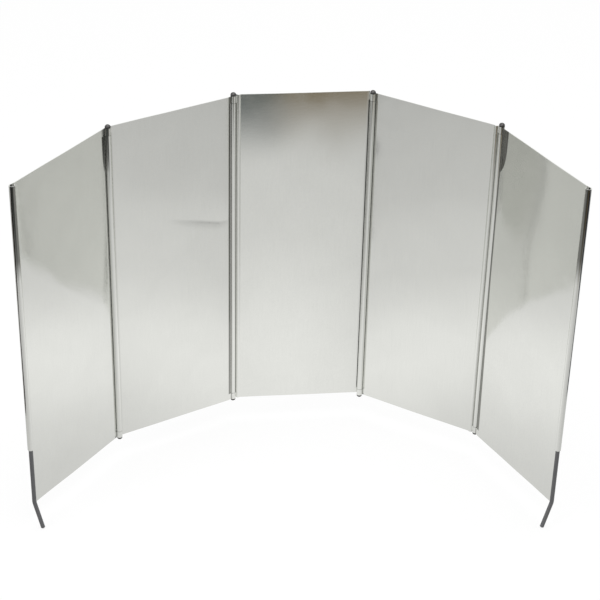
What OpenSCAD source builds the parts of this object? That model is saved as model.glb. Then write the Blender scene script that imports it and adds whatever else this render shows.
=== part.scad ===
// Folding stove windscreen: five aluminium panels on four wire hinges, with a
// sliding wire stake in the rolled outer edge of each end panel.
// The centre panel stands along X with its bottom edge on Z = 0. The screen is
// hollow towards -Y, which is the front. Every hinge axis stands a little off
// the sheet, on the side to which that hinge folds, so the panels fold flat.

/* [Panels] */
// Height of every panel
panel_h = 240; // [180:1:320]
// Distance between the hinge axes of the centre, left and right panels
pitch = 91; // [60:1:140]
// Distance from the hinge axis of an end panel to its stake
end_pitch = 91; // [60:1:140]
// Thickness of the aluminium sheet
sheet_t = 0.5; // [0.3:0.05:0.8]

/* [Hinges] */
// Diameter of the hinge pin wire
pin_d = 2.8; // [2:0.1:4]
// Radial clearance of a pin in its knuckles
pin_clear = 0.06; // [0.03:0.01:0.09]
// Length of the short knuckles at the top and bottom of a hinge
end_knuckle_l = 5; // [3:0.5:12]
// Gap between a sheet edge and the knuckle that turns beside it
knuckle_gap = 0.35; // [0.3:0.05:0.6]
// Least gap between the ends of neighbouring knuckles
axial_gap = 0.3; // [0.2:0.05:0.6]
// Travel of a panel along its hinge pin
hinge_play = 1.2; // [0.4:0.1:2]
// Open seam between the rolled edge and the sheet
seam_gap = 0.9; // [0.3:0.1:1.2]
// Gap left between the knuckles of the folded stack
fold_gap = 0.48; // [0.4:0.02:0.8]
// Overhang of the upset pin heads
head_lip = 0.4; // [0.3:0.05:0.7]
// Height of the upset pin heads
head_h = 2; // [1:0.1:3]
// Gap between a pin head and the knuckle under it
head_gap = 0.15; // [0.1:0.05:0.3]

/* [Stakes] */
// Diameter of the stake wire
stake_d = 2.8; // [2:0.1:4]
// Radial clearance of a stake in its rolled edge
stake_clear = 0.06; // [0.03:0.01:0.09]
// Height of the bare stretch of stake below the rolled edge
notch_h = 45; // [35:1:70]
// Gap between the bare stake and the sheet beside it
notch_gap = 0.5; // [0.3:0.1:1]
// Length of the straight foot below the bend
foot_l = 18.5; // [10:0.5:30]
// Lean of the foot towards the front of its panel
foot_lean = 18.5; // [5:0.5:30]
// Radius of the bend, at the middle of the wire
bend_r = 8; // [5:0.5:14]
// Height of the top of the bend above the bottom of the panel
bend_z = 3; // [1:0.5:8]
// Travel of a stake when it is pushed up for packing
stake_travel = 40; // [20:1:60]
// Chamfer at the ends of a stake
stake_chamfer = 0.5; // [0.2:0.1:0.8]

/* [Fold angles as set up] */
// Fold between the left end panel and the left panel
left_end_angle = 26; // [0:0.5:80]
// Fold between the left panel and the centre panel
left_angle = 25; // [0:0.5:40]
// Fold between the centre panel and the right panel
right_angle = 35.5; // [0:0.5:80]
// Fold between the right panel and the right end panel
right_end_angle = 29.5; // [0:0.5:80]

/* [Hidden] */
$fn = 64;

// Finishes
aluminium = "#c8c9c3";
steel = "#6b6c6e";

// Rolled edges round a hinge pin
bore_r = pin_d / 2 + pin_clear;
roll_r = bore_r + sheet_t;
axis_offset = (2 * roll_r + fold_gap) / 4;
// Rolled edges round a stake
stake_bore_r = stake_d / 2 + stake_clear;
stake_roll_r = stake_bore_r + sheet_t;
stake_offset = (2 * stake_roll_r + fold_gap) / 4;

// Width of the worked strip along each edge, and its overlap with the flat sheet
hinge_zone = roll_r + knuckle_gap + 2 * sheet_t;
stake_zone = stake_roll_r + notch_gap + 2 * sheet_t;
lap = sheet_t;

// The curled lip that follows the long knuckle of the neighbouring panel
lip_r = roll_r + knuckle_gap;
lip_mid_r = lip_r + sheet_t / 2;
lip_root = asin(axis_offset / lip_mid_r);
lip_pad = asin(sheet_t / 2 / lip_mid_r);
lip_margin = asin((sheet_t / 2 + 2 * knuckle_gap) / lip_mid_r);
lip_sweep = 2 * lip_root - lip_margin;

// The long knuckle runs between the short ones, less the play along the pin
long_from = end_knuckle_l + axial_gap;
long_to = panel_h - end_knuckle_l - axial_gap - hinge_play;
// The wings hang at the bottom of their play
wing_drop = hinge_play;

// Pin heads
head_r = pin_d / 2 + head_lip;
dome_h = head_h / 2;
dome_r = (head_r * head_r + dome_h * dome_h) / (2 * dome_h);

// The foot is a hair thinner than the wire above it, and starts inside the bend
foot_step = 0.02;
foot_seat = 0.4;
foot_d = stake_d - 2 * foot_step;
// A pushed-up stake still ends inside its rolled edge
stake_top = panel_h - stake_travel - 2 * stake_clear - stake_d;

// Where a sheet at the given offset from an axis meets a circle about that axis
function meets(radius, offset) = sqrt(radius * radius - offset * offset);
// Where the inner face of that sheet comes clear of the circle
function clears(radius, offset) = meets(radius, offset - sheet_t / 2);

// Edge profiles are drawn about their axis: x runs into the panel, and the
// sheet lies at y = offset.

module sheet_run(start, zone, offset) {
    translate([start, offset - sheet_t / 2])
        square([zone + lap - start, sheet_t]);
}

module roll_profile(radius, zone, offset) {
    difference() {
        circle(r = radius + sheet_t);
        circle(r = radius);
        translate([0, offset - sheet_t / 2 - seam_gap])
            square([radius + 2 * sheet_t, seam_gap]);
    }
    sheet_run(meets(radius + sheet_t / 2, offset), zone, offset);
}

module wedge(from, to) {
    reach = 2 * (lip_r + sheet_t);
    middle = (from + to) / 2;
    polygon([
        [0, 0],
        reach * [cos(from), sin(from)],
        reach * [cos(middle), sin(middle)],
        reach * [cos(to), sin(to)]
    ]);
}

// The lip curls towards the back of the screen, whichever way the hinge folds
module lip_profile(front) {
    intersection() {
        difference() {
            circle(r = lip_r + sheet_t);
            circle(r = lip_r);
        }
        if (front)
            wedge(lip_root - lip_pad, lip_root + lip_sweep);
        else
            wedge(lip_root - lip_sweep, lip_root + lip_pad);
    }
    sheet_run(meets(lip_mid_r, axis_offset), hinge_zone, axis_offset);
}

module band(from, to) {
    translate([0, 0, from])
        linear_extrude(height = to - from)
            children();
}

// Edge that carries the long knuckle, notched for its neighbour's short ones
module long_edge() {
    band(long_from, long_to)
        roll_profile(bore_r, hinge_zone, axis_offset);
    for (ends = [[0, long_from], [long_to, panel_h]])
        band(ends[0], ends[1])
            sheet_run(clears(roll_r + knuckle_gap, axis_offset), hinge_zone, axis_offset);
}

// Edge that carries the two short knuckles and, between them, the curled lip
module short_edge(front) {
    for (ends = [[0, end_knuckle_l], [panel_h - end_knuckle_l, panel_h]])
        band(ends[0], ends[1])
            roll_profile(bore_r, hinge_zone, axis_offset);
    band(end_knuckle_l, panel_h - end_knuckle_l)
        lip_profile(front);
}

// Edge that is rolled round a stake and stops above the bare stretch
module stake_edge() {
    band(notch_h, panel_h)
        roll_profile(stake_bore_r, stake_zone, stake_offset);
    band(0, notch_h)
        sheet_run(clears(stake_d / 2 + notch_gap, stake_offset), stake_zone, stake_offset);
}

// Places an edge on a panel: its axis stands in front of the sheet or behind it
module edge_at(x, right, front, offset) {
    translate([x, front ? -offset : offset, 0])
        mirror([right ? 1 : 0, 0, 0])
            mirror([0, front ? 0 : 1, 0])
                children();
}

module flat_sheet(from, to) {
    translate([from, -sheet_t / 2, 0])
        cube([to - from, sheet_t, panel_h]);
}

// Each frame has its panel's left axis at x = 0 and the sheet in the plane y = 0

module centre_frame() {
    translate([-pitch / 2, 0, 0])
        children();
}

module left_frame() {
    translate([-pitch / 2, axis_offset, -wing_drop])
        rotate([0, 0, left_angle])
            translate([-pitch, -axis_offset, 0])
                children();
}

module left_end_frame() {
    left_frame()
        translate([0, -axis_offset, 0])
            rotate([0, 0, left_end_angle])
                translate([-end_pitch, axis_offset, 0])
                    children();
}

module right_frame() {
    translate([pitch / 2, -axis_offset, -wing_drop])
        rotate([0, 0, -right_angle])
            translate([0, axis_offset, 0])
                children();
}

module right_end_frame() {
    right_frame()
        translate([pitch, axis_offset, 0])
            rotate([0, 0, -right_end_angle])
                translate([0, -axis_offset, 0])
                    children();
}

module left_end_panel() {
    color(aluminium) left_end_frame() {
        flat_sheet(stake_zone, end_pitch - hinge_zone);
        edge_at(0, false, true, stake_offset) stake_edge();
        edge_at(end_pitch, true, true, axis_offset) short_edge(true);
    }
}

module left_panel() {
    color(aluminium) left_frame() {
        flat_sheet(hinge_zone, pitch - hinge_zone);
        edge_at(0, false, true, axis_offset) long_edge();
        edge_at(pitch, true, false, axis_offset) short_edge(false);
    }
}

module centre_panel() {
    color(aluminium) centre_frame() {
        flat_sheet(hinge_zone, pitch - hinge_zone);
        edge_at(0, false, false, axis_offset) long_edge();
        edge_at(pitch, true, true, axis_offset) long_edge();
    }
}

module right_panel() {
    color(aluminium) right_frame() {
        flat_sheet(hinge_zone, pitch - hinge_zone);
        edge_at(0, false, true, axis_offset) short_edge(true);
        edge_at(pitch, true, false, axis_offset) long_edge();
    }
}

module right_end_panel() {
    color(aluminium) right_end_frame() {
        flat_sheet(hinge_zone, end_pitch - stake_zone);
        edge_at(0, false, false, axis_offset) short_edge(false);
        edge_at(end_pitch, true, true, stake_offset) stake_edge();
    }
}

// Upset head of a pin, standing up from z = 0
module pin_head() {
    cylinder(r = head_r, h = head_h - dome_h);
    intersection() {
        translate([0, 0, head_h - dome_r])
            sphere(r = dome_r);
        translate([0, 0, head_h - dome_h])
            cylinder(r = head_r, h = dome_h);
    }
}

// Hinge pin, with z = 0 at the bottom of the panel that carries the short knuckles
module hinge_pin() {
    color(steel) {
        translate([0, 0, -head_gap])
            cylinder(d = pin_d, h = panel_h + 2 * head_gap);
        translate([0, 0, panel_h + head_gap])
            pin_head();
        translate([0, 0, -head_gap])
            mirror([0, 0, 1])
                pin_head();
    }
}

module left_end_hinge_pin() {
    left_frame() translate([0, -axis_offset, 0]) hinge_pin();
}

module left_hinge_pin() {
    left_frame() translate([pitch, axis_offset, 0]) hinge_pin();
}

module right_hinge_pin() {
    right_frame() translate([0, -axis_offset, 0]) hinge_pin();
}

module right_end_hinge_pin() {
    right_frame() translate([pitch, axis_offset, 0]) hinge_pin();
}

// A length of wire standing on z = 0, chamfered at its top
module chamfered_wire(wire_d, length) {
    cylinder(d = wire_d, h = length - stake_chamfer);
    translate([0, 0, length - stake_chamfer])
        cylinder(d1 = wire_d, d2 = wire_d - 2 * stake_chamfer, h = stake_chamfer);
}

// Stake wire about its own axis, with its foot bent towards -y
module stake() {
    color(steel) {
        translate([0, 0, bend_z])
            chamfered_wire(stake_d, stake_top - bend_z);
        translate([0, -bend_r, bend_z]) {
            rotate([-90, 0, 90])
                rotate_extrude(angle = foot_lean)
                    translate([bend_r, 0])
                        circle(d = stake_d);
            rotate([-foot_lean, 0, 0])
                translate([0, bend_r, foot_seat])
                    mirror([0, 0, 1])
                        chamfered_wire(foot_d, foot_l + foot_seat);
        }
    }
}

module left_stake() {
    left_end_frame() translate([0, -stake_offset, 0]) stake();
}

module right_stake() {
    right_end_frame() translate([end_pitch, -stake_offset, 0]) stake();
}

left_end_panel();
left_panel();
centre_panel();
right_panel();
right_end_panel();
left_end_hinge_pin();
left_hinge_pin();
right_hinge_pin();
right_end_hinge_pin();
left_stake();
right_stake();
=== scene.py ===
# %% [markdown]
# A folding stove windscreen: five flat panels of thin bare aluminium, hinged on
# wire pins, with a bent wire stake in the rolled outer edge of each end panel.
# The exact solids come in first. They fix every size and every moving body, and
# the finer pieces made below are hung on those bodies.

import math

import bmesh
import bpy
from mathutils import Matrix, Vector, noise


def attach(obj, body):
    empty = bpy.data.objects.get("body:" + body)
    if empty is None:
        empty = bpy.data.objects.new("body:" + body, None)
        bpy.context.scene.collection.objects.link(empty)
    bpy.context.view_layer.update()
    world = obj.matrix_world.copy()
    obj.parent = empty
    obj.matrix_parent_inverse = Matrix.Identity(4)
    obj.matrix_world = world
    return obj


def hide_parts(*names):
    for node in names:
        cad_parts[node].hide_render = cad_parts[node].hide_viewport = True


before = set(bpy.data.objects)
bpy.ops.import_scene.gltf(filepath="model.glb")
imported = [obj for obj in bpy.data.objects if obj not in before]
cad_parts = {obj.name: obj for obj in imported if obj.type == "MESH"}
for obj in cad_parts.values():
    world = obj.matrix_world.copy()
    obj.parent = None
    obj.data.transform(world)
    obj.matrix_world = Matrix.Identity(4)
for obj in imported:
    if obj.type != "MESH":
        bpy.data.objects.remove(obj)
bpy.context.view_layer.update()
MM = 0.001

# %% [markdown]
# Sheet metal is easiest to think of as a flat blank with notches, whose edges
# are then rolled. So the measures are those of the blank and of the rolls, in
# millimetres, and a piece is only turned into metres when its mesh is made.
# The pitch goes from one hinge axis to the next. An axis lies off the middle of
# the sheet, by turns in front and behind, and the flat begins some way from it.
# The four folds are the angles, in degrees, at which the screen is set up.

# %% measures of sheet, wire and rolled edges
PANEL_H = 240.0
PITCH = 91.0
SHEET_T = 0.5
WIRE_R = 1.4
ROLL_MID_R = 1.71
AXIS_OFF = 1.1
WING_DROP = 1.2
END_KNUCKLE = 5.0
KNUCKLE_GAP = 0.12
NOTCH_H = 45.0
FLAT_FROM = 10.4
FOLDS = {"left_end": 26.0, "left": 25.0, "right": 35.5, "right_end": 29.5}
print("developed width", (len(FOLDS) + 1) * PITCH, "mm, height", PANEL_H, "mm")

# %% [markdown]
# Each panel is drawn in its own flat frame, with its left hinge axis at x = 0
# and its sheet in the plane y = 0. A chain of matrices then swings it into the
# set-up pose, hinge by hinge, just as a hand would. Both wings hang lower than
# the centre panel by the play along their pins.

# %% frames of the five panels
def shift(x, y, z=0.0):
    return Matrix.Translation((x, y, z))


def turn(degrees):
    return Matrix.Rotation(math.radians(degrees), 4, "Z")


centre_frame = shift(-PITCH / 2, 0)
left_hinge = shift(-PITCH / 2, AXIS_OFF, -WING_DROP) @ turn(FOLDS["left"])
left_frame = left_hinge @ shift(-PITCH, -AXIS_OFF)
left_end_hinge = left_frame @ shift(0, -AXIS_OFF) @ turn(FOLDS["left_end"])
left_end_frame = left_end_hinge @ shift(-PITCH, AXIS_OFF)
right_hinge = shift(PITCH / 2, -AXIS_OFF, -WING_DROP) @ turn(-FOLDS["right"])
right_frame = right_hinge @ shift(0, AXIS_OFF)
right_end_hinge = right_frame @ shift(PITCH, AXIS_OFF) @ turn(-FOLDS["right_end"])
right_end_frame = right_end_hinge @ shift(0, -AXIS_OFF)
print("left stake axis", [round(v, 2) for v in (left_end_frame @ Vector((0, -AXIS_OFF, 0)))])

# %% [markdown]
# An edge is drawn as the middle line of the sheet, seen from above, with the
# wire's axis at the origin and the flat of the panel out along x. A bevel could
# soften a finished mesh, but it would also soften the cut rims. So the line
# itself gets its small curves, because a press never leaves a sharp corner.

# %% even steps, arcs and softened corners
CORNER_CUTS = 4
BEFORE_SHARE, AFTER_SHARE = 0.48, 0.9
SOFTEN_AT = (0.25, 0.75)


def clamp(value):
    return min(1.0, max(0.0, value))


def spread(start, end, count):
    """Evenly spaced values from start to end, with both of them among the values."""
    return [start + (end - start) * i / count for i in range(count + 1)]


def on_circle(radius, degrees):
    angle = math.radians(degrees)
    return Vector((radius * math.cos(angle), radius * math.sin(angle)))


def bent(before, corner, after, radius):
    """The point before a corner, and then a small curve round the corner."""
    a, b = (before - corner).normalized(), (after - corner).normalized()
    reach = min(
        radius / math.tan(a.angle(b) / 2),
        BEFORE_SHARE * (before - corner).length,
        AFTER_SHARE * (after - corner).length,
    )
    p, q = corner + a * reach, corner + b * reach
    shares = spread(0.0, 1.0, CORNER_CUTS)
    return [before] + [p * (1 - t) ** 2 + corner * 2 * t * (1 - t) + q * t * t for t in shares]


def softened(points):
    """The same line with every corner cut off, so that it runs more smoothly."""
    out = [points[0]]
    for one, two in zip(points, points[1:]):
        out += [one.lerp(two, share) for share in SOFTEN_AT]
    return out + [points[-1]]


print("shares along a bend", spread(0.0, 1.0, CORNER_CUTS))

# %% [markdown]
# One panel of each hinge has a long roll. The sheet comes in flat and bends
# towards the wire. Where the wire lies behind the sheet, a low ridge is pressed
# along the roll as well. The ridge could be sculpted into a finished mesh, but as
# a short line of points it stays the same all along the hinge, as a press leaves
# it.

# %% the strip beside a roll
IN_FRONT, BEHIND = True, False
FLAT = Vector((FLAT_FROM, AXIS_OFF))
BENDS = {IN_FRONT: Vector((3.5, AXIS_OFF)), BEHIND: Vector((4.8, AXIS_OFF))}
STRIP_BEND_R = 3.0
STRIP_SHARES = (0.3, 0.5, 0.65, 0.8, 0.9)
RIDGE = [Vector(point) for point in (
    (4.7, 1.1), (4.2, 1.42), (3.6, 1.7), (3.0, 1.64), (2.55, 1.25), (2.2, 0.75), (1.9, 0.42),
)]
ROLL_STARTS, RIDGE_START = {IN_FRONT: 52.0, BEHIND: 22.0}, 12.0


def strip_line(front, ridged):
    """The sheet between the flat and the roll: plain, or pressed up in a ridge."""
    if ridged:
        return [FLAT] + softened(RIDGE) + [on_circle(ROLL_MID_R, RIDGE_START)]
    bend, crease = BENDS[front], on_circle(ROLL_MID_R, ROLL_STARTS[front])
    band = [bend.lerp(crease, share) for share in STRIP_SHARES]
    return bent(FLAT, bend, band[0], STRIP_BEND_R) + band + [crease]


print("points on a plain strip", len(strip_line(IN_FRONT, ridged=False)), "on a ridged one",
      len(strip_line(BEHIND, ridged=True)))

# %% [markdown]
# From the strip the sheet runs round the wire in an arc, and stops short of
# itself at an open seam. Each point of the line also carries a share of painted
# shade, which the material reads later: painted shade in the groove beside a
# roll, and painted dark reflections on the sides of the roll.

# %% the roll
ROLL_END, ROLL_STEP = 358.0, 14.0
# Painted shade: the groove beside a roll, the knuckle ends and the sides of a roll are painted dark
# where shade and dark reflections fall.
GROOVE_SPOT, RIDGE_SPOT = Vector((2.0, 1.25)), Vector((1.95, 0.5))
GROOVE_SHADE = {IN_FRONT: (0.75, 0.8), BEHIND: (1.0, 0.55)}
KNUCKLE_SHADE = {IN_FRONT: 0.55, BEHIND: 1.0}
OUTER_FROM, OUTER_TO, INNER_FROM = 165.0, 250.0, 288.0
SHADE_EDGE, SHADE_CLEAR = 0.45, 1.0


def painted_shade_share(point, edge_x):
    """Share of painted shade at a point that lies inside the painted edge of a strip."""
    return clamp((edge_x - point.x) / SHADE_EDGE)


def roll_line(front, ridged=False, end=ROLL_END, shade_x=0.0,
              outer=0.0, inner=0.0, outer_to=OUTER_TO):
    """The strip and the roll; outer and inner: how dark each side of the roll is painted, as painted
    shade.
    """
    strip = strip_line(front, ridged)
    # A strip may be painted dark up to a point across it, as painted shade that carries the dark
    # slit on.
    if shade_x > strip[1].x + SHADE_CLEAR:
        strip[1:1] = [Vector((shade_x - back, AXIS_OFF)) for back in (0.0, SHADE_EDGE)]
    spot = RIDGE_SPOT if ridged else GROOVE_SPOT if front else strip[-1]
    deep, wide = GROOVE_SHADE[front]
    line = []
    for point in strip:
        # painted shade in the groove, and up to the painted edge of the strip
        groove = deep * math.exp(-((point - spot).length / wide) ** 2)
        line.append((point, max(groove, KNUCKLE_SHADE[front] * painted_shade_share(point, shade_x))))
    start = RIDGE_START if ridged else ROLL_STARTS[front]
    for angle in spread(start, end, math.ceil((end - start) / ROLL_STEP))[1:]:
        # painted shade and painted dark reflections on the outer and inner sides of the roll
        on_outside = OUTER_FROM <= angle <= outer_to
        painted_shade = outer if on_outside else inner if angle >= INNER_FROM else 0.0
        line.append((on_circle(ROLL_MID_R, angle), painted_shade))
    return line


print("points on a plain roll", len(roll_line(IN_FRONT)), "on a ridged one",
      len(roll_line(BEHIND, ridged=True)))

# %% [markdown]
# The other panel of the hinge has a lip beside that roll. Its end curls in
# towards the roll and leaves the dark slot that shows as the hinge line. Where a
# neighbour's knuckle needs room, the strip is simply cut off square. Both are
# drawn from the same parts as the roll, so that their ends meet it exactly.

# %% the lip and the cut edge
LIP_CURLS = {IN_FRONT: (36.0, 104.0, 2.4, 2.24), BEHIND: (12.0, -2.0, 2.7, 2.3)}
LIP_STEPS, LIP_BEND_R, LIP_SHARES = 8, 0.6, (0.5, 0.8)
# Painted shade on a lip inside its bend, and at a cut end.
LIP_SHADE = {IN_FRONT: 0.4, BEHIND: 1.0}
CUT_CLEAR, CUT_SHADE = 0.05, 0.7


def lip_line(front, corner_x):
    """A lip bends away from the sheet, dips, and closes in on the roll behind or beside it."""
    corner = Vector((corner_x, AXIS_OFF))
    start, end, start_r, end_r = LIP_CURLS[front]
    curl = [
        on_circle(radius, degrees)
        for radius, degrees in zip(spread(start_r, end_r, LIP_STEPS), spread(start, end, LIP_STEPS))
    ]
    slope = [corner + (curl[0] - corner).normalized() * SHADE_EDGE]
    slope += [corner.lerp(curl[0], share) for share in LIP_SHARES]
    line = bent(FLAT, corner, slope[0], LIP_BEND_R) + slope + curl
    # the lip is painted dark inside its bend, as painted shade
    return [(point, LIP_SHADE[front] * painted_shade_share(point, corner_x)) for point in line]


def cut_line(x, front, ridged=False):
    """The strip again, cut off square where the neighbour's knuckle needs room."""
    strip = strip_line(front, ridged)
    kept = [point for point in strip if point.x > x + CUT_CLEAR]
    before, after = kept[-1], strip[len(kept)]
    end = before.lerp(after, (before.x - x) / (before.x - after.x))
    # the cut end is painted dark, as painted shade
    return [(point, 0.0) for point in kept] + [(end, CUT_SHADE)]


print("points on a lip", len(lip_line(IN_FRONT, BENDS[IN_FRONT].x)))

# %% [markdown]
# Along its height an edge changes. The long roll has a notch at each end for
# the neighbour's short knuckles, the lip between those knuckles may flare
# towards the top, and the roll for a stake stops above the bare wire. Cutting
# all that out of one solid would leave ragged rims. So each stretch is a band of
# its own: from a height, to a height, and the middle line at any height between.

# %% bands of an edge with a long roll
FLARE_FROM, FLARE_POWER = 209.0, 4.5
NOTCH_CUTS = {IN_FRONT: 1.85, BEHIND: 2.07}


def steady(line):
    return lambda z: line


def flare(z):
    """From nought low down to one at the top, most of it just above the start."""
    return 1 - min(1.0, (PANEL_H - z) / (PANEL_H - FLARE_FROM)) ** FLARE_POWER


def long_edge(front, reach, outer=0.0, inner=0.0):
    """A roll over most of the height, with painted dark reflection outside near the top and painted
    shade inside all along.
    """
    low, high = reach

    def roll(z):
        return roll_line(front, ridged=not front, outer=outer * flare(z), inner=inner)

    notch = steady(cut_line(NOTCH_CUTS[front], front, ridged=not front))
    return [(0, low, notch), (low, high, roll), (high, PANEL_H, notch)], front


print("flare half way up to the top", round(flare((FLARE_FROM + PANEL_H) / 2), 3))

# %% [markdown]
# The two other kinds of edge are made of the same lines. The one with the lip has
# short knuckles at the very ends of the wire, and the upper one carries painted
# shade as far as the flare reaches. The outer edge of an end panel is one roll for
# the stake, with painted dark reflections on it near the top.

# %% bands of an edge with a lip, and of one for a stake
FOOT_TO = 130.0
KNUCKLE_ENDS = {IN_FRONT: 384.0, BEHIND: 358.0}
STAKE_CUT = 1.7
# Painted dark reflections on the stake rolls, rising in from this height up.
STAKE_SHADE_FROM, STAKE_SHADE_RISE = 174.0, 14.0
STAKE_OUTER, STAKE_INNER, STAKE_OUTER_TO = 0.9, 0.3, 285.0


def short_edge(front, foot, waist, mouth, inner=0.0):
    """Two knuckles, and a lip whose bend goes from foot to waist and widens to the mouth."""
    def lip(z):
        low = foot + (waist - foot) * min(1.0, z / FOOT_TO)
        return lip_line(front, low + (mouth - low) * flare(z))

    top, end = PANEL_H - END_KNUCKLE, KNUCKLE_ENDS[front]
    clean = steady(roll_line(front, end=end))
    # the upper knuckle is painted dark as far as the mouth, as painted shade
    shaded = steady(roll_line(front, end=end, shade_x=mouth, inner=inner))
    return [(0, END_KNUCKLE, clean), (END_KNUCKLE, top, lip), (top, PANEL_H, shaded)], front


def stake_edge(front):
    """The roll for a stake starts above the bare wire, and is painted dark near the top, as painted
    dark reflections.
    """
    def roll(z):
        share = clamp((z - STAKE_SHADE_FROM) / STAKE_SHADE_RISE)
        outer, inner = STAKE_OUTER * share, STAKE_INNER * share
        return roll_line(front, outer=outer, inner=inner, outer_to=STAKE_OUTER_TO)

    notch = steady(cut_line(STAKE_CUT, front))
    return [(0, NOTCH_H, notch), (NOTCH_H, PANEL_H, roll)], front


print("bands on a stake edge", [band[:2] for band in stake_edge(IN_FRONT)[0]])

# %% [markdown]
# A thin sheet is never quite flat. Smooth noise dishes each panel by a third of
# a millimetre: too little to see as a shape, but it bends the reflections. Two
# panels also have a long shallow crease, with finer rows of points across it. A
# bump in the material could shade both, but only real shape shows in the mesh.

# %% rows of the blank, and what bends it
ROW_STEP, FLARE_ROWS = 6.0, 12
CREASE_STEP, CREASE_MARGIN, CREASE_FULL = 0.7, 5.0, 0.65
DISH, DISH_POWER, RIPPLE_SHARE = 0.34, 0.7, 0.35
WAVE_U, WAVE_Z, WAVE_SEED = 0.021, 0.013, 0.37
RIPPLE_U, RIPPLE_Z, RIPPLE_SEED = 0.047, 0.031, 0.61


def rows_for(crease, *edges):
    """Heights of the rows of points: at every notch, closer at the flare and at a crease."""
    marks = {0.0, PANEL_H} | {z for bands in edges for band in bands for z in band[:2]}
    marks |= set(spread(FLARE_FROM, PANEL_H - END_KNUCKLE, FLARE_ROWS)[:-1])
    if crease:
        start, end = crease[0].y + CREASE_MARGIN, crease[1].y - CREASE_MARGIN
        marks |= set(spread(start, end, round((start - end) / CREASE_STEP)))
    marks, rows = sorted(marks), []
    for low, high in zip(marks, marks[1:]):
        rows += spread(low, high, max(1, round((high - low) / ROW_STEP)))[:-1]
    return rows + [PANEL_H]


def pressed(u, z, crease):
    """How far a crease has moved the sheet: most towards its second end, less away from it."""
    if not crease:
        return 0.0
    start, end, depth, below, above = crease
    along = clamp((u - start.x) / (end.x - start.x))
    off = z - start.lerp(end, along).y
    fade = math.exp(-abs(off) / (below if off < 0 else above))
    return depth * min(1.0, along / CREASE_FULL) * fade


def dish(u, z, seed):
    wave = noise.noise(Vector((u * WAVE_U + seed, z * WAVE_Z, seed * WAVE_SEED)))
    ripple = noise.noise(Vector((u * RIPPLE_U - seed, z * RIPPLE_Z, seed * RIPPLE_SEED)))
    return DISH * (wave + RIPPLE_SHARE * ripple) * math.sin(math.pi * u / PITCH) ** DISH_POWER


print("rows of a plain panel", len(rows_for(None, stake_edge(IN_FRONT)[0])))

# %% [markdown]
# Every point of a metal piece keeps three things as attributes: its place on the
# flat blank, how far it was worked, and its share of painted shade, which stands
# for shade and dark reflections. Generated or object coordinates would be simpler,
# but with the place on the blank the grain of the metal follows the sheet round the
# rolls, as it does on the real one.

# %% points that remember the flat blank
SEED_SPREAD = 40.0


def metal_layers(bm):
    layers = bm.verts.layers
    # the third layer holds the painted shade
    return layers.float_vector.new("blank"), layers.float.new("worked"), layers.float.new("painted_shade")


def add_point(bm, layers, spot, blank, worked=0.0, painted_shade=0.0):
    """blank: the place across and along the flat sheet, and a number for the piece."""
    point = bm.verts.new(spot)
    for layer, value in zip(layers, (Vector(blank), worked, painted_shade)):
        point[layer] = value
    return point


def skin(bm, one, two):
    """Faces between two neighbouring columns of points."""
    for k in range(1, len(one)):
        bm.faces.new((one[k - 1], two[k - 1], two[k], one[k]))


def closed_up(name, bm):
    """The finished mesh, with its faces all turned the same way."""
    bmesh.ops.recalc_face_normals(bm, faces=bm.faces[:])
    mesh = bpy.data.meshes.new(name)
    bm.to_mesh(mesh)
    bm.free()
    return mesh


print("kept on each point: blank, worked, smut")

# %% [markdown]
# A middle line becomes points on the panel here. Near a roll, where two bands
# meet, each draws back a little, which leaves the narrow slit of a shear cut.
# The dishing of the flat fades out before the roll, so that the roll is straight
# and its pin fits.

# %% lay a middle line on the panel
SLIT, SLIT_FROM = 0.04, 3.2
BOW_FADE = 7.0
WORKED_FROM, WORKED_RAMP = 5.8, 2.5
# Painted shade fades out towards the foot of an edge.
SHADE_LOW, SHADE_FULL_Z = {IN_FRONT: 0.08, BEHIND: 0.82}, 190.0


def slit_shift(point, z, low, high):
    if point.x >= SLIT_FROM:
        return 0.0
    if z == low and low > 0:
        return SLIT
    return -SLIT if z == high and high < PANEL_H else 0.0


def painted_shade_left(z, front):
    """The share of painted shade that is left towards the foot of an edge."""
    share = SHADE_LOW[front]
    return share + (1 - share) * min(1.0, z / SHADE_FULL_Z)


def laid_out(line, z, band, front, is_right, bow):
    """For each point of the line: its spot, its place across the blank, worked and painted shade."""
    rim, way = (PITCH - FLAT_FROM, 1) if is_right else (FLAT_FROM, -1)
    run, out = 0.0, []
    for (before, _), (point, painted_shade) in zip(line, line[1:]):
        run += (point - before).length
        x = PITCH - point.x if is_right else point.x
        y = point.y - AXIS_OFF if front else AXIS_OFF - point.y
        y += bow * max(0.0, 1 - run / BOW_FADE)
        spot = Vector((x, y, z + slit_shift(point, z, *band)))
        worked = clamp((run - WORKED_FROM) / WORKED_RAMP)
        out.append((spot, rim + way * run, worked, painted_shade * painted_shade_left(z, front)))
    return out


print("smut left at the foot", [painted_shade_left(0, front) for front in (IN_FRONT, BEHIND)])

# %% [markdown]
# Now the blank itself: a grid of points covers the flat, and the bands grow out
# of its first and last columns. Neighbouring bands share their points as far as
# their lines agree, which keeps the sheet in one piece up to the slits. Building
# the middle surface by points, and not by cutting solids, keeps the faces even,
# and even faces give a calm reflection.

# %% build one panel as a middle surface
COLS = 44
TOUCH, WELD = 1e-6, 0.001


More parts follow.
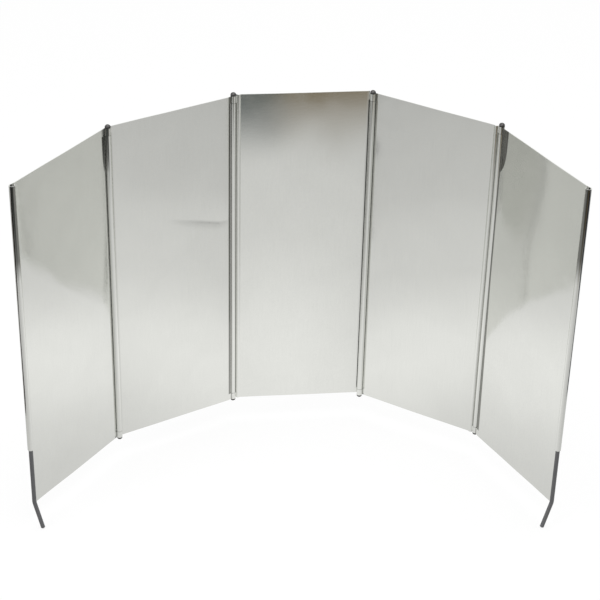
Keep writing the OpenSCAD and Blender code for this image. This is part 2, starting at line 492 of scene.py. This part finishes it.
def panel_mesh(name, left, right, seed, crease):
    """left and right: the bands of each edge, and on which side its wire lies."""
    bm = bmesh.new()
    layers = metal_layers(bm)
    rows = rows_for(crease, left[0], right[0])
    columns = spread(FLAT_FROM, PITCH - FLAT_FROM, COLS)

    def bowed(x, z):
        return dish(x, z, seed) + pressed(x, z, crease)

    def point_at(spot, across, worked=0.0, painted_shade=0.0):
        return add_point(bm, layers, spot, (across, spot[2], seed * SEED_SPREAD), worked, painted_shade)

    def grow(root, edge, is_right):
        bands, front = edge
        rim = PITCH - FLAT_FROM if is_right else FLAT_FROM
        below = []
        for low, high, shape in bands:
            inside = [k for k, z in enumerate(rows) if low - TOUCH <= z <= high + TOUCH]
            laid = [
                laid_out(shape(z), z, (low, high), front, is_right, bowed(rim, z))
                for z in (rows[k] for k in inside)
            ]
            column, top, joined = [root[k] for k in inside], [], True
            for j, (first, *others) in enumerate(zip(*laid)):
                joined = joined and j < len(below) and (below[j].co - first[0]).length < WELD
                new = [below[j] if joined else point_at(*first)]
                new += [point_at(*other) for other in others]
                skin(bm, column, new)
                column = new
                top.append(new[-1])
            below = top

    grid = [[point_at((x, bowed(x, z), z), x) for z in rows] for x in columns]
    for one, two in zip(grid, grid[1:]):
        skin(bm, one, two)
    grow(grid[0], left, is_right=False)
    grow(grid[-1], right, is_right=True)
    return closed_up(name, bm)


print("columns over the flat", COLS, "about", round((PITCH - 2 * FLAT_FROM) / COLS, 2), "mm apart")

# %% [markdown]
# The Solidify modifier gives the middle surface its half millimetre. Its result
# is taken back as a plain mesh, because then every edge sharper than a bend can
# be marked sharp: the faces and the rolls shade smooth, and the cut rims crisp.
# The painted shade is kept on the front of each sheet only, so it is cleared from
# the back.

# %% give a sheet its thickness, and hang a piece on its body
SHARP = math.radians(38)


def thicken(obj, front_way):
    gauge = obj.modifiers.new("gauge", "SOLIDIFY")
    gauge.thickness = SHEET_T * MM
    gauge.offset = 0.0
    gauge.use_quality_normals = True
    seen = obj.evaluated_get(bpy.context.evaluated_depsgraph_get())
    solid = bpy.data.meshes.new_from_object(seen)
    obj.modifiers.clear()
    obj.data = solid
    solid.set_sharp_from_angle(angle=SHARP)
    # painted shade is cleared where a face looks away from the front
    painted_shade = solid.attributes["painted_shade"].data
    for vertex in solid.vertices:
        if vertex.normal.dot(front_way) < 0:
            painted_shade[vertex.index].value = 0.0


def place(mesh, matrix, body, node):
    mesh.transform(Matrix.Scale(MM, 4) @ matrix)
    for face in mesh.polygons:
        face.use_smooth = True
    mesh.set_sharp_from_angle(angle=SHARP)
    obj = bpy.data.objects.new(node + "_fine", mesh)
    bpy.context.scene.collection.objects.link(obj)
    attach(obj, body)
    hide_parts(node)
    return obj


print("edges count as sharp above", round(math.degrees(SHARP)), "degrees")

# %% [markdown]
# The five panels differ only in their edges and creases. The wires lie by turns
# in front of the sheet and behind it, so that the screen folds to and fro like a
# map. A crease is a line from one point to another on the flat, with a depth and
# the distances over which it fades out below and above.

# %% place the five panels
END_LONG = (END_KNUCKLE + KNUCKLE_GAP, PANEL_H - END_KNUCKLE - KNUCKLE_GAP)
CENTRE_LONG = tuple(z - WING_DROP for z in END_LONG)
# outer and inner: how dark the rolls are painted, as painted shade and painted dark reflections
PANELS = [
    ("left_end_panel", "left_outer", left_end_frame,
     stake_edge(IN_FRONT),
     short_edge(IN_FRONT, foot=3.6, waist=3.6, mouth=5.4, inner=0.8)),
    ("left_panel", "left_inner", left_frame,
     long_edge(IN_FRONT, END_LONG, outer=0.8),
     short_edge(BEHIND, foot=4.4, waist=4.4, mouth=4.4)),
    ("centre_panel", "centre", centre_frame,
     long_edge(BEHIND, CENTRE_LONG),
     long_edge(IN_FRONT, CENTRE_LONG, inner=0.42)),
    ("right_panel", "right_inner", right_frame,
     short_edge(IN_FRONT, foot=3.5, waist=3.5, mouth=3.5),
     long_edge(BEHIND, END_LONG)),
    ("right_end_panel", "right_outer", right_end_frame,
     short_edge(BEHIND, foot=5.9, waist=4.3, mouth=9.5),
     stake_edge(IN_FRONT)),
]
FLAT_TO = PITCH - FLAT_FROM
CREASES = {
    "left_panel": (Vector((40.0, 162.0)), Vector((FLAT_TO, 148.5)), 0.55, 2.4, 13.0),
    "left_end_panel": (Vector((-6.0, 187.0)), Vector((FLAT_TO, 113.0)), -0.32, 20.0, 22.0),
}
PANEL_SEED, PANEL_SEED_STEP = 0.4, 1.7
sheets = []
for number, (node, body, matrix, left, right) in enumerate(PANELS):
    seed = PANEL_SEED_STEP * number + PANEL_SEED
    mesh = panel_mesh(node + "_mesh", left, right, seed, CREASES.get(node))
    panel = place(mesh, matrix, body, node)
    thicken(panel, matrix.to_3x3() @ Vector((0, -1, 0)))
    sheets.append(panel)
    print(node, len(panel.data.polygons), "faces")

# %% [markdown]
# A wire is a circle carried along a line. A curve with a bevel would do that in
# one step, but here every ring of points also keeps its length along the wire,
# so that drawn scratches can run lengthwise. The radius may change along the
# line, which makes chamfers and hammered heads.

# %% a wire along a line
SIDES = 28
UP, ACROSS = Vector((0, 0, 1)), Vector((1, 0, 0))
LUMP_SCALE, LUMP_DRIFT, HEAD_OVER = 1.3, 0.4, 0.02


def wire_mesh(name, stations, seed, lumpy=0.0):
    """stations: (point, direction, radius) in millimetres, from one end to the other."""
    bm = bmesh.new()
    layers = metal_layers(bm)
    shank_r = stations[len(stations) // 2][2]
    rings, run, last = [], 0.0, stations[0][0]
    for point, direction, radius in stations:
        run += (point - last).length
        last = point
        other = direction.cross(ACROSS).normalized()
        worked = 0.0 if radius == shank_r else 1.0
        ring = []
        for k in range(SIDES):
            angle = 2 * math.pi * k / SIDES
            side = ACROSS * math.cos(angle) + other * math.sin(angle)
            lump = noise.noise(side * LUMP_SCALE + Vector((0, run * LUMP_DRIFT, seed)))
            swell = 1 + lumpy * lump if radius > WIRE_R + HEAD_OVER else 1.0
            blank = (angle * WIRE_R, run, seed * SEED_SPREAD)
            ring.append(add_point(bm, layers, point + side * radius * swell, blank, worked))
        rings.append(ring)
    for one, two in zip(rings, rings[1:]):
        for k in range(SIDES):
            n = (k + 1) % SIDES
            bm.faces.new((one[k], one[n], two[n], two[k]))
    bm.faces.new(list(reversed(rings[0])))
    bm.faces.new(rings[-1])
    return closed_up(name, bm)


print("sides of a wire", SIDES)

# %% [markdown]
# The hinge pins are cut wire whose ends are upset with a hammer, so that they
# can't fall out. Each head is a low cone with a rounded rim, a little lumpy from
# the blows. Its profile is a short list of radius and height, used at both ends.

# %% four hinge pins
HEAD = (
    (1.4, -0.01), (1.78, 0.0), (1.87, 0.14), (1.88, 0.45), (1.8, 0.85),
    (1.55, 1.25), (1.15, 1.6), (0.7, 1.85), (0.3, 1.99),
)
HEAD_GAP, HEAD_LUMPY, SHANK_RINGS = 0.15, 0.05, 12
PIN_SEED, PIN_SEED_STEP = 0.9, 2.3


def pin_stations():
    low = [(Vector((0, 0, -HEAD_GAP - h)), UP, r) for r, h in reversed(HEAD)]
    shank = [(Vector((0, 0, z)), UP, WIRE_R) for z in spread(0.0, PANEL_H, SHANK_RINGS)]
    return low + shank + [(Vector((0, 0, PANEL_H + HEAD_GAP + h)), UP, r) for r, h in HEAD]


PINS = [
    ("left_end_hinge_pin", "left_inner", left_frame @ shift(0, -AXIS_OFF)),
    ("left_hinge_pin", "centre", left_frame @ shift(PITCH, AXIS_OFF)),
    ("right_hinge_pin", "centre", right_frame @ shift(0, -AXIS_OFF)),
    ("right_end_hinge_pin", "right_inner", right_frame @ shift(PITCH, AXIS_OFF)),
]
pins = []
for number, (node, body, matrix) in enumerate(PINS):
    seed = PIN_SEED_STEP * number + PIN_SEED
    mesh = wire_mesh(node + "_mesh", pin_stations(), seed, HEAD_LUMPY)
    pins.append(place(mesh, matrix, body, node))
print("pins", len(pins), "each", len(pins[0].data.polygons), "faces")

# %% [markdown]
# A stake is one length of the same wire. Below the panel it bends towards the
# inside of the screen and ends in a foot that pushes into the ground. The line
# is a straight, an arc and a second straight, so each station's direction is
# known and the wire keeps its thickness through the bend.

# %% two stakes
STAKE_TOP, BEND_Z, BEND_R, LEAN = 197.08, 3.0, 8.0, 18.5
FOOT_L, FOOT_R, CHAMFER = 18.5, WIRE_R - 0.02, 0.5
STAKE_RINGS, BEND_RINGS = 14, 8
STAKE_SEED, STAKE_SEED_STEP = 5.2, 3.1


def stake_stations():
    cuts = (0.0, CHAMFER / 2, CHAMFER)
    out = [(Vector((0, 0, STAKE_TOP - cut)), UP, WIRE_R - CHAMFER + cut) for cut in cuts]
    straight = spread(STAKE_TOP, BEND_Z, STAKE_RINGS)[1:-1]
    out += [(Vector((0, 0, z)), UP, WIRE_R) for z in straight]
    for degrees in spread(0.0, LEAN, BEND_RINGS):
        a = math.radians(degrees)
        point = Vector((0, BEND_R * math.cos(a) - BEND_R, BEND_Z - BEND_R * math.sin(a)))
        out.append((point, Vector((0, math.sin(a), math.cos(a))), WIRE_R))
    start, back = out[-1][0], out[-1][1]
    for share in (0.25, 0.5, 0.75, 1 - CHAMFER / FOOT_L):
        out.append((start - back * FOOT_L * share, back, FOOT_R))
    for cut in cuts[1:]:
        out.append((start - back * (FOOT_L - CHAMFER + cut), back, FOOT_R - cut))
    return out


STAKES = [
    ("left_stake", "left_peg", left_end_frame @ shift(0, -AXIS_OFF)),
    ("right_stake", "right_peg", right_end_frame @ shift(PITCH, -AXIS_OFF)),
]
stakes = []
for number, (node, body, matrix) in enumerate(STAKES):
    seed = STAKE_SEED_STEP * number + STAKE_SEED
    stakes.append(place(wire_mesh(node + "_mesh", stake_stations(), seed), matrix, body, node))
print("stakes", [stake.name for stake in stakes])

# %% [markdown]
# Materials are trees of nodes. A few helpers keep the trees short to write: a
# node whose inputs take a plain value or another node's output, a node for sums,
# one that maps a span of values to another, and an empty material to start from.

# %% helpers for node trees
def feed(tree, socket, value):
    """Give an input a plain value, or link another node's output to it."""
    if isinstance(value, bpy.types.NodeSocket):
        tree.links.new(value, socket)
    else:
        socket.default_value = value


def put(tree, kind, x, y, **values):
    """A new node at x, y; each value goes to the input or else the setting of that name."""
    made = tree.nodes.new(kind)
    made.location = (x, y)
    for key, value in values.items():
        if key in made.inputs:
            feed(tree, made.inputs[key], value)
        else:
            setattr(made, key, value)
    return made


def maths(tree, x, y, operation, *values):
    made = put(tree, "ShaderNodeMath", x, y, operation=operation)
    for socket, value in zip(made.inputs, values):
        feed(tree, socket, value)
    return made.outputs["Value"]


def ranged(tree, x, y, value, span, onto=(0.0, 1.0), kind="LINEAR"):
    made = put(tree, "ShaderNodeMapRange", x, y, interpolation_type=kind, Value=value)
    for key, end in zip(("From Min", "From Max", "To Min", "To Max"), (*span, *onto)):
        made.inputs[key].default_value = end
    return made.outputs["Result"]


def new_finish(name):
    finish = bpy.data.materials.new(name)
    finish.use_nodes = True
    tree = finish.node_tree
    tree.nodes.clear()
    return finish, tree, put(tree, "ShaderNodeOutputMaterial", 900, 0)


print("helpers for nodes ready")

# %% [markdown]
# Both metals were pulled or rolled in one direction and have been handled, so
# those two effects are node groups: one for the grain of the mill, one for
# smudges. A group is built once, and each metal sets its own scale and
# strength. The groups read the place on the blank kept on the points, so the
# grain stays put when a panel swings. The grain is one noise drawn out along the
# sheet, for streaks, and one of even specks.

# %% node group for the grain of the mill
VECTOR, VALUE = "NodeSocketVector", "NodeSocketFloat"
STREAK_HEIGHT = 0.6


def group(name, inputs, outputs):
    tree = bpy.data.node_groups.new(name, "ShaderNodeTree")
    for label, kind, default in inputs:
        socket = tree.interface.new_socket(label, in_out="INPUT", socket_type=kind)
        if default is not None:
            socket.default_value = default
    for label, kind in outputs:
        tree.interface.new_socket(label, in_out="OUTPUT", socket_type=kind)
    return tree, put(tree, "NodeGroupInput", -900, 0).outputs


grain_tree, grain_in = group(
    "mill grain",
    [("Blank", VECTOR, None), ("Across", VALUE, 3.0), ("Along", VALUE, 0.05), ("Speck", VALUE, 2.4)],
    [("Streaks", VALUE), ("Specks", VALUE), ("Height", VALUE)],
)
stretch = put(grain_tree, "ShaderNodeCombineXYZ", -700, 150,
              X=grain_in["Across"], Y=grain_in["Along"], Z=1.0)
drawn_out = put(grain_tree, "ShaderNodeVectorMath", -520, 150, operation="MULTIPLY")
feed(grain_tree, drawn_out.inputs[0], grain_in["Blank"])
feed(grain_tree, drawn_out.inputs[1], stretch.outputs["Vector"])
streaks = put(grain_tree, "ShaderNodeTexNoise", -330, 150, Vector=drawn_out.outputs["Vector"],
              Scale=1.0, Detail=4.0, Roughness=0.6).outputs["Fac"]
specks = put(grain_tree, "ShaderNodeTexNoise", -330, -120, Vector=grain_in["Blank"],
             Scale=grain_in["Speck"], Detail=3.0, Roughness=0.65).outputs["Fac"]
height = maths(grain_tree, 60, -60, "MULTIPLY_ADD", streaks, STREAK_HEIGHT, specks)
put(grain_tree, "NodeGroupOutput", 700, 0, Streaks=streaks, Specks=specks, Height=height)
print("group", grain_tree.name, "nodes", len(grain_tree.nodes))

# %% [markdown]
# Hands and cloths leave soft smudges of all sizes. One cloud of noise gives both
# outputs: the whole cloud is a faint haze, and only its peaks are smudges. Two
# separate clouds would not agree on where the metal was touched.

# %% node group for the marks of handling
SMUDGE_SPAN = (0.5, 0.72)
marks_tree, marks_in = group(
    "handling marks",
    [("Blank", VECTOR, None), ("Size", VALUE, 0.03), ("Amount", VALUE, 1.0)],
    [("Smudge", VALUE), ("Haze", VALUE)],
)
cloud = put(marks_tree, "ShaderNodeTexNoise", -500, 120, Vector=marks_in["Blank"],
            Scale=marks_in["Size"], Detail=2.5, Roughness=0.55, Distortion=0.7).outputs["Fac"]
rubbed = ranged(marks_tree, -260, 120, cloud, SMUDGE_SPAN, kind="SMOOTHSTEP")
smudge = maths(marks_tree, 0, 120, "MULTIPLY", rubbed, marks_in["Amount"])
put(marks_tree, "NodeGroupOutput", 700, 0, Smudge=smudge, Haze=cloud)
print("group", marks_tree.name, "nodes", len(marks_tree.nodes))

# %% [markdown]
# The colour of bare metal is never one flat tone, which would look like foil.
# Here it lies between a dark and a light tone, by the specks, the streaks and the
# haze of the two groups. The painted shade kept on the points then darkens it, in
# patches that follow the streaks.

# %% colour of a metal
SPECK_SHARE, STREAK_SHARE, HAZE_SHARE = 0.5, 0.3, 0.3
COVER_SPAN, COVER_ONTO = (0.25, 0.6), (0.75, 1.0)
# The colour of the painted shade and painted dark reflections.
PAINTED_SHADE_COLOUR = (0.13, 0.129, 0.118, 1.0)


def metal_colour(tree, grain, marks, painted_shade, colours):
    """Between a dark and a light tone by specks, streaks and haze, and darkened by painted shade."""
    faint = maths(tree, -260, 80, "MULTIPLY", grain["Streaks"], STREAK_SHARE)
    mottle = maths(tree, -260, 260, "MULTIPLY_ADD", grain["Specks"], SPECK_SHARE, faint)
    blotch = maths(tree, -60, 260, "MULTIPLY_ADD", marks["Haze"], HAZE_SHARE, mottle)
    dark, light = ((*colour, 1.0) for colour in colours)
    tint = put(tree, "ShaderNodeMix", 120, 260, data_type="RGBA", Factor=blotch, A=dark, B=light)
    cover = ranged(tree, -60, 640, grain["Streaks"], COVER_SPAN, COVER_ONTO)
    patchy = maths(tree, -60, 480, "MULTIPLY", painted_shade, cover)
    return put(tree, "ShaderNodeMix", 340, 300, data_type="RGBA", Factor=patchy,
               A=tint.outputs["Result"], B=PAINTED_SHADE_COLOUR).outputs["Result"]


print("colour of the smut", PAINTED_SHADE_COLOUR[:3])

# %% [markdown]
# Roughness carries the look of metal even more than colour does. Fine specks make
# it sparkle a little, and smudges dull it. Where the metal was worked, a shift of
# its own makes the sheet smoother, as if burnished, and the wire rougher.

# %% roughness of a metal
SPECK_SPAN, SMUDGE_DULL = (0.3, 0.7), 0.05


def metal_roughness(tree, grain, marks, worked, rough, worked_shift):
    """Rougher on the specks and under smudges, and shifted where the metal was worked."""
    speckled = ranged(tree, -60, -60, grain["Specks"], SPECK_SPAN, rough)
    dull = maths(tree, 140, -60, "MULTIPLY_ADD", marks["Smudge"], SMUDGE_DULL, speckled)
    wear = maths(tree, 320, -60, "MULTIPLY_ADD", worked, worked_shift, dull)
    wear.node.use_clamp = True
    return wear


print("a full smudge adds", SMUDGE_DULL, "to the roughness")

# %% [markdown]
# The sheet is bare aluminium as it leaves the mill: half bright, so that it
# mirrors a room as soft light and shade. One shader with one plain roughness
# would mirror too perfectly, so the groups feed its colour, roughness and fine
# relief. The shader itself stays in the material, where an export can read it.

# %% finish of the aluminium sheet
RELIEF_DEPTH = 0.00004


def metal(name, colours, rough, grain_scales, relief, smudge_size, worked_shift):
    finish, tree, out = new_finish(name)
    kept = {
        label: put(tree, "ShaderNodeAttribute", -900, -200 * row, attribute_name=label).outputs
        for row, label in enumerate(("blank", "worked", "painted_shade"))
    }
    blank = kept["blank"]["Vector"]
    grain = put(tree, "ShaderNodeGroup", -600, 120, node_tree=grain_tree,
                Blank=blank, **grain_scales).outputs
    marks = put(tree, "ShaderNodeGroup", -600, -120, node_tree=marks_tree,
                Blank=blank, Size=smudge_size).outputs
    # the painted shade kept on the points darkens the colour
    colour = metal_colour(tree, grain, marks, kept["painted_shade"]["Fac"], colours)
    roughness = metal_roughness(tree, grain, marks, kept["worked"]["Fac"], rough, worked_shift)
    bump = put(tree, "ShaderNodeBump", 320, -320, Strength=relief, Distance=RELIEF_DEPTH,
               Height=grain["Height"]).outputs["Normal"]
    bsdf = put(tree, "ShaderNodeBsdfPrincipled", 600, 0, Metallic=1.0, Roughness=roughness,
               Normal=bump, **{"Base Color": colour})
    feed(tree, out.inputs["Surface"], bsdf.outputs["BSDF"])
    return finish


mill_sheet = metal(
    "mill finish sheet",
    colours=((0.69, 0.695, 0.672), (0.88, 0.886, 0.858)),
    rough=(0.06, 0.1),
    grain_scales={"Across": 2.2, "Along": 0.045, "Speck": 1.3},
    relief=0.2,
    smudge_size=0.028,
    worked_shift=-0.01,
)
print("material", mill_sheet.name, "nodes", len(mill_sheet.node_tree.nodes))

# %% [markdown]
# The wire is plain drawn steel with fine lines along its length from the drawing
# die. The stakes are a dark and slightly blue grey. The pins are darker still,
# and a little warmer, as steel gets that sits in a hinge and takes up dirt. Both
# come from the same function as the sheet, with other values.

# %% finish of the steel wire
WIRE_GRAIN = {"Across": 5.0, "Along": 0.06, "Speck": 1.6}
drawn_wire = metal(
    "drawn steel wire",
    colours=((0.085, 0.086, 0.091), (0.21, 0.21, 0.216)),
    rough=(0.28, 0.44),
    grain_scales=WIRE_GRAIN,
    relief=0.45,
    smudge_size=0.09,
    worked_shift=0.08,
)
pin_wire = metal(
    "hinge pin steel",
    colours=((0.045, 0.044, 0.044), (0.1, 0.098, 0.096)),
    rough=(0.3, 0.46),
    grain_scales=WIRE_GRAIN,
    relief=0.45,
    smudge_size=0.09,
    worked_shift=0.04,
)
for pieces, finish in ((sheets, mill_sheet), (pins, pin_wire), (stakes, drawn_wire)):
    for piece in pieces:
        piece.data.materials.clear()
        piece.data.materials.append(finish)
    print("finished", len(pieces), "pieces with", finish.name)

# %% [markdown]
# The stage is made of planes, and its measures are in metres. Floor and room both
# have to look white to the camera and in the metal, and yet light the screen no
# more than a plain studio does. More lamps would wash it out. So the Light Path
# node tells which kind of ray has arrived, and two shaders are mixed by that.

# %% helpers for the stage
def plane(name, low, high, z):
    mesh = bpy.data.meshes.new(name)
    corners = [(low[0], low[1]), (high[0], low[1]), (high[0], high[1]), (low[0], high[1])]
    mesh.from_pydata([(x, y, z) for x, y in corners], [], [(0, 1, 2, 3)])
    obj = bpy.data.objects.new(name, mesh)
    bpy.context.scene.collection.objects.link(obj)
    return obj


def bright_rays(tree):
    """One for camera, glossy and transmission rays, and zero for the rest."""
    path = put(tree, "ShaderNodeLightPath", -900, 300).outputs
    direct = maths(tree, -700, 300, "MAXIMUM", path["Is Camera Ray"], path["Is Glossy Ray"])
    return maths(tree, -520, 300, "MAXIMUM", direct, path["Is Transmission Ray"])


def either(tree, share, one, two):
    """Mixes two shaders, by a share that goes from the first to the second."""
    made = put(tree, "ShaderNodeMixShader", 200, 0, Fac=share)
    feed(tree, made.inputs[1], one)
    feed(tree, made.inputs[2], two)
    return made.outputs["Shader"]


print("helpers for the stage ready")

# %% [markdown]
# The floor glows at a strength of nearly one to the camera and to mirrors, which
# is white, while a share of it stays an ordinary pale surface that takes the
# shadow. The feet of the stakes go below the sheets, so the floor lies just under
# their tips.

# %% floor
FLOOR_Z, FLOOR_HALF = -0.0188, 6.0
FLOOR_PALE, FLOOR_GLOW = (0.92, 0.92, 0.92, 1.0), 0.87
white_floor, floor_tree, floor_out = new_finish("white floor")
paper = put(floor_tree, "ShaderNodeBsdfDiffuse", -100, 100, Color=FLOOR_PALE).outputs["BSDF"]
glow = put(floor_tree, "ShaderNodeEmission", -100, -100, Strength=1.0).outputs["Emission"]
glow_share = maths(floor_tree, -300, 300, "MULTIPLY", bright_rays(floor_tree), FLOOR_GLOW)
feed(floor_tree, floor_out.inputs["Surface"], either(floor_tree, glow_share, paper, glow))
floor = plane("floor", (-FLOOR_HALF, -FLOOR_HALF), (FLOOR_HALF, FLOOR_HALF), FLOOR_Z)
floor.data.materials.append(white_floor)
print("floor at", FLOOR_Z)

# %% [markdown]
# Bare metal looks like what stands round it. A photographer lays grey and dark
# cards where only the metal sees them, and so do these cells. One wide card on
# the floor fades from light to grey away from the screen, and turns dark well in
# front of it. That shows as the dark band at the top of the middle panel, cool
# on its left and warm on its right. Ray visibility keeps the cards out of the
# picture itself, and the floor keeps its white and its shadow.

# %% the wide card that fades
CARD_CENTRE_Y = -0.06
FADE_WIDER = (1.8, 1.0, 0.0)
FADE = (
    (0.0, 0.96), (0.07, 0.92), (0.14, 0.82), (0.2, 0.755), (0.33, 0.71),
    (0.4, 0.65), (0.6, 0.6), (0.76, 0.56), (0.95, 0.44),
)
FADE_BLUE = 0.985
FRONT_SPAN, FRONT_SHARE = (-0.535, -0.375), 0.2
COOL, WARM, HUE_SPAN = (0.85, 0.97, 0.95, 1.0), (1.75, 1.46, 1.0, 1.0), (0.0, 0.06)
WARM_SHIFT = 0.02
WHITE = (1.0, 1.0, 1.0, 1.0)


def fade_by_distance(tree, position):
    """From light to grey, by the distance from the screen, which counts more to the sides."""
    widened = put(tree, "ShaderNodeVectorMath", -700, 100, operation="MULTIPLY")
    feed(tree, widened.inputs[0], position)
    feed(tree, widened.inputs[1], FADE_WIDER)
    away = put(tree, "ShaderNodeVectorMath", -520, 100, operation="DISTANCE")
    feed(tree, away.inputs[0], widened.outputs["Vector"])
    feed(tree, away.inputs[1], (0.0, CARD_CENTRE_Y, 0.0))
    ramp = put(tree, "ShaderNodeValToRGB", -340, 100, Fac=away.outputs["Value"])
    stops = ramp.color_ramp.elements
    while len(stops) < len(FADE):
        stops.new(0.5)
    for stop, (at, level) in zip(stops, FADE):
        stop.position = at
        stop.color = (level, level, level * FADE_BLUE, 1.0)
    return ramp.outputs["Color"]


def fading(tree):
    """The fade, times a dark front that is cool on the left and warm on the right."""
    position = put(tree, "ShaderNodeNewGeometry", -900, 0).outputs["Position"]
    axes = put(tree, "ShaderNodeSeparateXYZ", -700, -150, Vector=position).outputs
    side = ranged(tree, -520, -360, axes["X"], HUE_SPAN, kind="SMOOTHSTEP")
    skewed = maths(tree, -520, -560, "MULTIPLY_ADD", side, WARM_SHIFT, axes["Y"])
    near = ranged(tree, -520, -100, skewed, FRONT_SPAN, kind="SMOOTHSTEP")
    cool, warm = (tuple(FRONT_SHARE * v for v in hue) for hue in (COOL, WARM))
    hue = put(tree, "ShaderNodeMix", -340, -300, data_type="RGBA", Factor=side, A=cool, B=warm)
    front = put(tree, "ShaderNodeMix", -160, -150, data_type="RGBA", Factor=near,
                A=hue.outputs["Result"], B=WHITE)
    both = put(tree, "ShaderNodeMix", 20, 0, data_type="RGBA", blend_type="MULTIPLY", Factor=1.0,
               A=fade_by_distance(tree, position), B=front.outputs["Result"])
    return both.outputs["Result"]


print("stops of the fade", len(FADE))

# %% [markdown]
# Four small dark cards lie to the sides, a far and a near one on each side. The
# flats hardly see them, but the round outer rolls do, and mirror them as dark
# lines along their height. The cards lie a little above the wide one, because two
# planes at the same height would show through each other in patches.

# %% lay the cards
CARD_HALF, CARD_LIFT, DARK_LIFT = 1.6, 0.0003, 0.0006
DARK_SIDES = {"left": (-1, (0.04, 0.033, 0.03, 1.0)), "right": (1, (0.03, 0.03, 0.04, 1.0))}
FAR_X, FAR_Y = (0.43, 0.62), (-0.6, -0.05)
NEAR_X, NEAR_Y = (0.31, 0.43), (-0.19, -0.05)
ONLY_MIRRORED = ("camera", "diffuse", "shadow", "transmission", "volume_scatter")


def card(name, across, along, lift, colour):
    """colour: a plain colour, or a function that makes its nodes in the card's tree."""
    obj = plane(name, (across[0], along[0]), (across[1], along[1]), FLOOR_Z + lift)
    for ray in ONLY_MIRRORED:
        setattr(obj, "visible_" + ray, False)
    finish, tree, out = new_finish(name + " finish")
    shown = colour(tree) if callable(colour) else colour
    light = put(tree, "ShaderNodeEmission", 200, 0, Color=shown)
    feed(tree, out.inputs["Surface"], light.outputs["Emission"])
    obj.data.materials.append(finish)
    return obj


cards = [card("fading card", (-CARD_HALF, CARD_HALF), (-CARD_HALF, CARD_HALF), CARD_LIFT, fading)]
for side, (way, colour) in DARK_SIDES.items():
    far, near = (sorted(way * x for x in xs) for xs in (FAR_X, NEAR_X))
    cards.append(card(side + " dark card", far, FAR_Y, DARK_LIFT, colour))
    cards.append(card("near " + side + " card", near, NEAR_Y, DARK_LIFT, colour))
print("cards", [c.name for c in cards])

# %% [markdown]
# Plain soft studio light: a wide softbox overhead, a weaker one to the left,
# and an even white room. The room is white to the camera and to mirrors, and
# dimmer as a lamp, so that the shadows on the floor stay.

# %% lamps and room
ROOM_DIM, ROOM_WHITE = 0.55, 1.0


def softbox(name, at, aim, size, power):
    lamp = bpy.data.lights.new(name, "AREA")
    lamp.shape = "RECTANGLE"
    lamp.size, lamp.size_y = size
    lamp.energy = power
    obj = bpy.data.objects.new(name, lamp)
    bpy.context.scene.collection.objects.link(obj)
    obj.location = at
    obj.rotation_mode = "QUATERNION"
    obj.rotation_quaternion = (Vector(aim) - Vector(at)).to_track_quat("-Z", "Y")
    return obj


softbox("overhead softbox", at=(0.1, -0.1, 1.7), aim=(0, -0.05, 0), size=(1.8, 1.4), power=22.0)
softbox("side softbox", at=(-1.5, -0.9, 0.9), aim=(0, -0.05, 0.1), size=(0.9, 0.9), power=7.0)
world = bpy.data.worlds.new("white room")
bpy.context.scene.world = world
world.use_nodes = True
sky = world.node_tree
sky.nodes.clear()
room, shown = (
    put(sky, "ShaderNodeBackground", -100, y, Color=WHITE, Strength=strength).outputs["Background"]
    for y, strength in ((100, ROOM_DIM), (-100, ROOM_WHITE))
)
put(sky, "ShaderNodeOutputWorld", 400, 0, Surface=either(sky, bright_rays(sky), room, shown))
bpy.context.scene.view_settings.view_transform = "Standard"

# %% [markdown]
# The camera looks down at the inside of the screen from a little to the left.
# Its place, turn and lens come from fitting the straight edges of the five
# panels, which fix a view very well. The three directions of the view are worked
# out one by one, because a matrix of them is easier to check than three angles.

# %% camera
VIEW_AT = Vector((-0.12258, -1.08937, 0.77954))
YAW, PITCH_DOWN, ROLL = 6.4744, 32.529, 1.3845
FOCAL_PX, FRAME_PX, SENSOR = 1871.53, 600.0, 36.0
yaw, down, roll = (math.radians(v) for v in (YAW, PITCH_DOWN, ROLL))
ahead = Vector((math.sin(yaw) * math.cos(down), math.cos(yaw) * math.cos(down), -math.sin(down)))
level = Vector((math.cos(yaw), -math.sin(yaw), 0))
upright = level.cross(ahead)
right_way = level * math.cos(roll) + upright * math.sin(roll)
up_way = upright * math.cos(roll) - level * math.sin(roll)
lens = bpy.data.cameras.new("camera")
lens.sensor_width = SENSOR
lens.lens = FOCAL_PX * SENSOR / FRAME_PX
camera = bpy.data.objects.new("camera", lens)
bpy.context.scene.collection.objects.link(camera)
turned = Matrix((right_way, up_way, -ahead)).transposed().to_4x4()
camera.matrix_world = Matrix.Translation(VIEW_AT) @ turned
bpy.context.scene.camera = camera
print("lens", round(lens.lens, 2), "mm")
